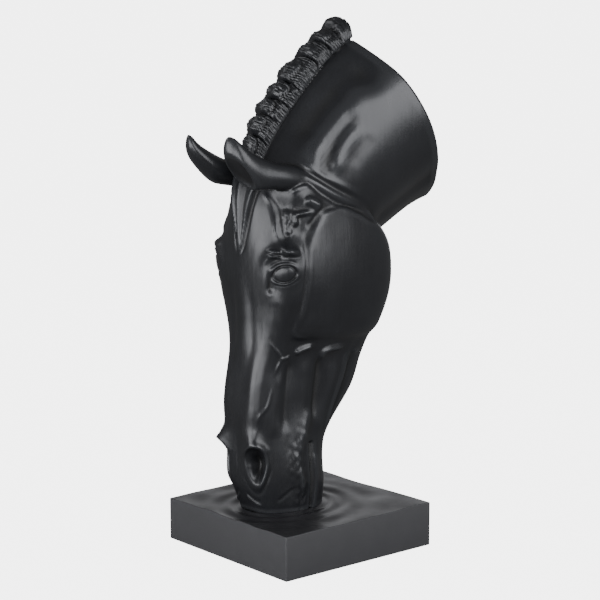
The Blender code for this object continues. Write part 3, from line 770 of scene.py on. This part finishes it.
def mark_hollows(cast, rounds=3, spread=2):
    """Attribute "hollow": how deep each vertex lies below the mean of its neighbours, spread out a little."""
    mesh = cast.data
    ends, co, count = edge_ends(mesh), coordinates(mesh), len(mesh.vertices)
    normal = np.empty(count * 3)
    mesh.vertices.foreach_get("normal", normal)
    normal = normal.reshape(-1, 3)
    smooth = co
    for _ in range(rounds):
        smooth = neighbour_mean(smooth, ends, count)
    depth = np.einsum("ij,ij->i", smooth - co, normal)
    for _ in range(spread):
        depth = neighbour_mean(depth, ends, count)
    hollow = mesh.attributes.new("hollow", "FLOAT", "POINT")
    hollow.data.foreach_set("value", np.clip(depth / FULL_HOLLOW, -1, 1).astype(np.float32))


# Finishes

def node(tree, kind, inputs=(), **settings):
    """A shader node; inputs maps a socket's name or number to a constant or to the socket that feeds it."""
    made = tree.nodes.new(kind)
    for key, value in settings.items():
        setattr(made, key, value)
    for key, value in dict(inputs).items():
        if isinstance(value, bpy.types.NodeSocket):
            tree.links.new(value, made.inputs[key])
        else:
            made.inputs[key].default_value = value
    return made


def new_finish(name, **constants):
    finish = bpy.data.materials.new(name)
    finish.use_nodes = True
    tree = finish.node_tree
    shader = tree.nodes["Principled BSDF"]
    for socket, value in constants.items():
        shader.inputs[socket.replace("_", " ")].default_value = value
    return finish, tree, shader


def noise(tree, place, scale, detail=2.0, roughness=.5):
    inputs = {"Vector": place, "Scale": scale, "Detail": detail, "Roughness": roughness}
    return node(tree, "ShaderNodeTexNoise", inputs).outputs["Fac"]


def sum_of(tree, *terms):
    """Sum of (socket, weight) terms."""
    total = None
    for socket, weight in terms:
        inputs = {0: socket, 1: weight, 2: 0.0 if total is None else total}
        total = node(tree, "ShaderNodeMath", inputs, operation="MULTIPLY_ADD").outputs[0]
    return total


def between(tree, value, low, high, to_low, to_high):
    """Value from the span low to high, carried over to the span to_low to to_high."""
    inputs = {"Value": value, "From Min": low, "From Max": high, "To Min": to_low, "To Max": to_high}
    return node(tree, "ShaderNodeMapRange", inputs).outputs["Result"]


def mixed_colour(tree, factor, first, second):
    made = node(tree, "ShaderNodeMix", {"Factor": factor}, data_type="RGBA")
    for socket, colour in zip([s for s in made.inputs if s.type == "RGBA"], (first, second)):
        if isinstance(colour, bpy.types.NodeSocket):
            tree.links.new(colour, socket)
        else:
            socket.default_value = (*colour, 1)
    return next(s for s in made.outputs if s.type == "RGBA")


def put_on(tree, shader, colour, roughness, relief, strength, distance):
    """Feeds a finish's colour, roughness and fine relief to its shader."""
    tree.links.new(colour, shader.inputs["Base Color"])
    tree.links.new(roughness, shader.inputs["Roughness"])
    bump = node(tree, "ShaderNodeBump", {"Height": relief, "Strength": strength, "Distance": distance})
    tree.links.new(bump.outputs["Normal"], shader.inputs["Normal"])


def black_resin():
    """Satin black lacquer on resin: cloudy gloss, upright tool streaks, fine grain, painted shade and
    dullness in hollows.
    """
    finish, tree, shader = new_finish("black_resin")
    place = node(tree, "ShaderNodeTexCoord").outputs["Object"]
    upright = node(tree, "ShaderNodeMapping", {"Vector": place, "Scale": (1, 1, .12)}).outputs["Vector"]
    clouds = noise(tree, place, 14, 3)
    streaks = noise(tree, upright, 170, 3, .6)
    grain = noise(tree, place, 700, 2)
    hollow = node(tree, "ShaderNodeAttribute", attribute_name="hollow").outputs["Fac"]
    # painted shade: in hollows the colour darkens towards near black and the lacquer turns duller
    hollow_shade_and_dullness = between(tree, hollow, .15, .9, 0, 1)
    wear = between(tree, hollow, -.2, -.9, 0, 1)
    lacquer = mixed_colour(tree, clouds, (.008, .008, .009), (.015, .016, .018))
    # painted shade: the lacquer's colour is mixed towards near black in hollows
    shaded_in_hollows = mixed_colour(tree, hollow_shade_and_dullness, lacquer, (.006, .006, .006))
    colour = mixed_colour(tree, wear, shaded_in_hollows, (.022, .023, .025))
    dullness = sum_of(tree, (clouds, .16), (streaks, .10), (hollow_shade_and_dullness, .16), (wear, -.04))
    roughness = between(tree, dullness, 0, 1, .20, 1.20)
    relief = sum_of(tree, (streaks, 1.0), (grain, .25), (clouds, 1.5))
    put_on(tree, shader, colour, roughness, relief, strength=.5, distance=.00035)
    return finish


def black_water():
    """The plinth's rippled top: the same lacquer, a little duller, with cloudy gloss and fine grain."""
    finish, tree, shader = new_finish("black_water")
    place = node(tree, "ShaderNodeTexCoord").outputs["Object"]
    clouds, grain = noise(tree, place, 22, 3), noise(tree, place, 520, 2)
    colour = mixed_colour(tree, clouds, (.009, .009, .010), (.016, .016, .018))
    roughness = between(tree, clouds, .3, .7, .34, .46)
    relief = sum_of(tree, (clouds, 1.5), (grain, .3))
    put_on(tree, shader, colour, roughness, relief, strength=.5, distance=.0004)
    return finish


def matt_sides():
    """The plinth's flat sides and underside: matt charcoal paint, finely mottled and slightly uneven."""
    finish, tree, shader = new_finish("matt_sides")
    place = node(tree, "ShaderNodeTexCoord").outputs["Object"]
    clouds, grain = noise(tree, place, 30, 4, .6), noise(tree, place, 900, 2)
    colour = mixed_colour(tree, clouds, (.034, .034, .036), (.044, .044, .046))
    roughness = between(tree, grain, .3, .7, .50, .62)
    put_on(tree, shader, colour, roughness, grain, strength=.4, distance=.00015)
    return finish


# The two pieces

near_ear = ear_form(*EAR_GRID)
far_ear = (ear_form(*EAR_GRID, slim=FAR_EAR_SLIM) * [-1, 1, 1])[:, ::-1]
forms = [head_form(*HEAD_GRID), neck_form(*NECK_GRID), near_ear, far_ear, mane_form(*MANE_GRID)]
horse = cast_in_one("horse", forms)
soften_seams(horse, SEAM_ROUNDS)
mark_hollows(horse)
horse.data.attributes.remove(horse.data.attributes["form"])
shade_round_the_cut(horse)
horse.data.materials.append(black_resin())
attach(horse, "root")
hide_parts("horse_head")

points, faces, water_faces = plinth_mesh(WATER_GRID)
water = new_object("water_plinth", points, faces)
water.data.shade_smooth()
water.data.set_sharp_from_angle(angle=radians(50))
water.data.materials.append(black_water())
water.data.materials.append(matt_sides())
on_side = (np.arange(len(faces)) >= water_faces).astype(np.int32)
water.data.polygons.foreach_set("material_index", on_side)
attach(water, "root")
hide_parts("plinth")


# Camera, as fitted to the plinth's square top: places in plinth sides from the top's centre

CAMERA_PLACE = Vector((6.29272442, -5.25658109, 2.23224088))
CAMERA_AZIMUTH, CAMERA_ELEVATION = radians(50.0882261), radians(7.93889609)
CAMERA_LENS, CAMERA_SENSOR = 93.698, 36         # mm

camera = bpy.data.objects.new("camera", bpy.data.cameras.new("camera"))
bpy.context.scene.collection.objects.link(camera)
back = Vector((sin(CAMERA_AZIMUTH) * cos(CAMERA_ELEVATION),
               -cos(CAMERA_AZIMUTH) * cos(CAMERA_ELEVATION),
               sin(CAMERA_ELEVATION)))
camera.location = CAMERA_PLACE * PLINTH_SIDE + Vector((0, 0, WATER_LEVEL))
camera.rotation_mode = "QUATERNION"
camera.rotation_quaternion = (-back).to_track_quat("-Z", "Y")
camera.data.sensor_width = CAMERA_SENSOR
camera.data.lens = CAMERA_LENS
bpy.context.scene.camera = camera


# Stage and lights, placed from the camera's side of the object

FLOOR_HALF = 12.0
FLOOR_LEVEL = -.0005            # just under the plinth
FLOOR_TINT = (.1, .1, .1)
FLOOR_GLOW = 4.98               # the sweep is lit to white on its own, apart from the object
BACKDROP_GLOW = 5.0
ROOM_GLOW = .15                 # dim room that the object reflects between the lights
LIGHT_COLOUR = (.95, .96, 1.0)
AIM = Vector((0, .04, .38))     # the point that every light faces, in metres
RIGHT = Vector((cos(CAMERA_AZIMUTH), sin(CAMERA_AZIMUTH), 0))
NEAR = Vector((sin(CAMERA_AZIMUTH), -cos(CAMERA_AZIMUTH), 0))

corners = [(x * FLOOR_HALF, y * FLOOR_HALF, FLOOR_LEVEL) for x, y in ((-1, -1), (1, -1), (1, 1), (-1, 1))]
floor = new_object("floor", corners, [(0, 1, 2, 3)])
floor_paint = new_finish("floor_paint", Base_Color=(*FLOOR_TINT, 1), Roughness=.9,
                         Emission_Color=(1, 1, 1, 1), Emission_Strength=FLOOR_GLOW)[0]
floor.data.materials.append(floor_paint)
floor.visible_glossy = floor.visible_diffuse = False


def softbox(name, right, near, up, width, height, watts):
    """Rectangular soft light; right, near (towards the camera) and up are counted from AIM, in metres."""
    light = bpy.data.lights.new(name, "AREA")
    light.shape, light.size, light.size_y, light.energy = "RECTANGLE", width, height, watts
    light.color = LIGHT_COLOUR
    box = bpy.data.objects.new(name, light)
    bpy.context.scene.collection.objects.link(box)
    box.location = AIM + RIGHT * right + NEAR * near + Vector((0, 0, up))
    box.rotation_mode = "QUATERNION"
    box.rotation_quaternion = (box.location - AIM).to_track_quat("Z", "Y")
    box.visible_camera = False


# Each light: (name, right, near, up, width, height, watts)
for numbers in [("left", -2.05, 1.30, .10, 1.8, 1.3, 49),
                ("front", -.58, 2.33, .05, 1.8, .9, 34),
                ("right", 1.86, 1.37, .70, 2.1, 1.7, 58),
                ("high_right", 1.5, 1.3, 1.6, 1.1, .95, 3),
                ("back_left", -1.95, -.3, 1.4, .95, .95, 8),
                ("back", .3, -2.6, .35, 2.4, .8, 6)]:
    softbox(*numbers)

world = bpy.data.worlds.new("studio")
bpy.context.scene.world = world
world.use_nodes = True
tree = world.node_tree
tree.nodes.clear()
seen, felt = (node(tree, "ShaderNodeBackground", {"Color": (1, 1, 1, 1), "Strength": strength})
              for strength in (BACKDROP_GLOW, ROOM_GLOW))
by_camera = node(tree, "ShaderNodeLightPath").outputs["Is Camera Ray"]
both = node(tree, "ShaderNodeMixShader", {0: by_camera, 1: felt.outputs[0], 2: seen.outputs[0]})
node(tree, "ShaderNodeOutputWorld", {"Surface": both.outputs[0]})
